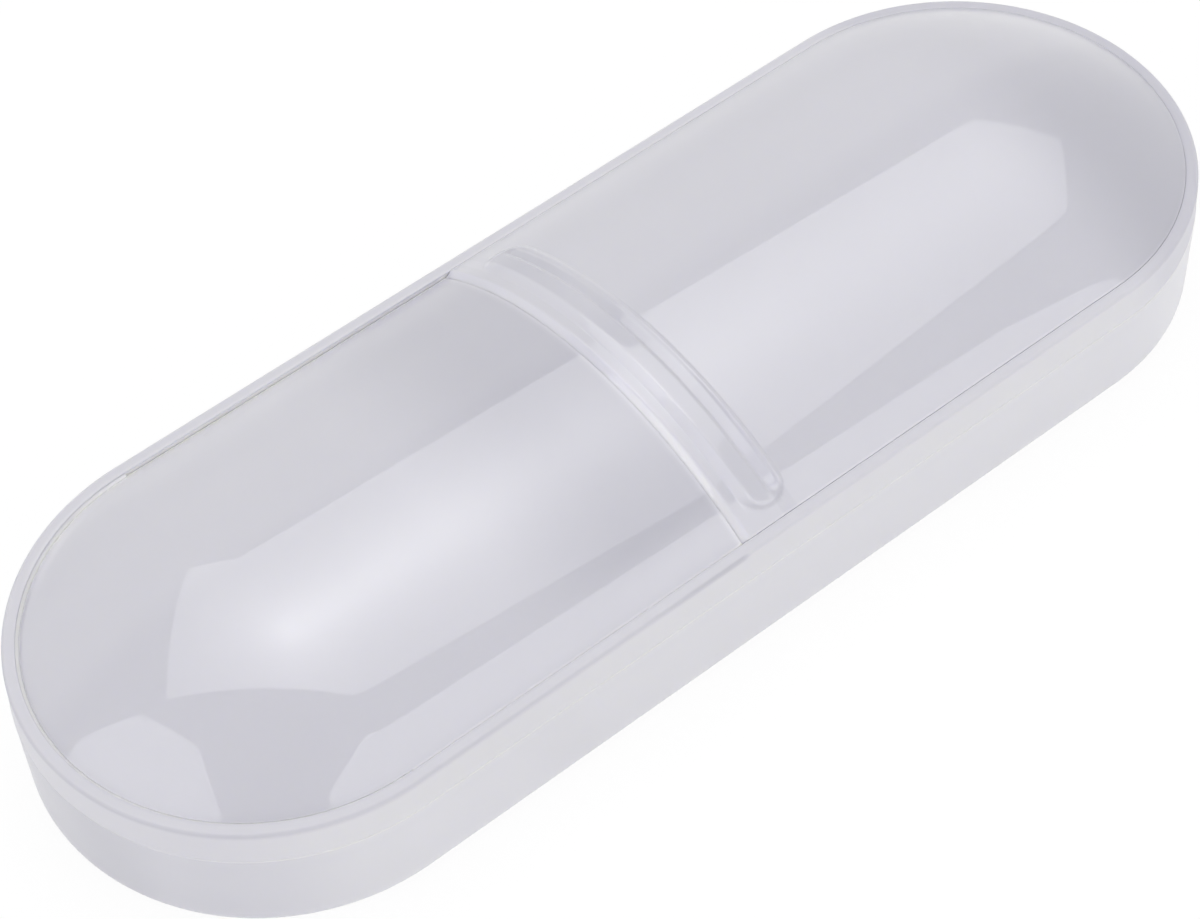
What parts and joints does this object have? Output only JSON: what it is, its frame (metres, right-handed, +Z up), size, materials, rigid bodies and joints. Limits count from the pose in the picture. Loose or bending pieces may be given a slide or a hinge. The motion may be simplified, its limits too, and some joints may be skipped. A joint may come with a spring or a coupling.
{
  "type": "toothbrush case",
  "caption": "Long travel case with half-round ends for a toothbrush: a tray with a rim ring, a fixed domed cover and a domed cover with a thumb grip that slides over it.",
  "frame": {"origin": "centre of the tray's flat underside", "axes": "+X along the case towards the end that the sliding cover opens, +Y across it, +Z up"},
  "size_m": [0.21, 0.0744, 0.0338],
  "materials": {
    "tray_plastic": "frosted translucent polypropylene, satin outside",
    "frame_plastic": "frosted translucent polypropylene, soft gloss",
    "fixed_cover_plastic": "milky translucent polypropylene, glossy outside",
    "sliding_cover_plastic": "milky translucent polypropylene, glossy outside"
  },
  "bodies": {
    "case": {"lower_tray": "tray_plastic", "rim_frame": "frame_plastic", "fixed_cover": "fixed_cover_plastic"},
    "cover": {"sliding_cover": "sliding_cover_plastic"}
  },
  "joints": [
    {"name": "cover_slide", "type": "slide", "parent": "case", "child": "cover", "axis": [-1, 0, 0], "range_m": [0, 0.0595]}
  ]
}
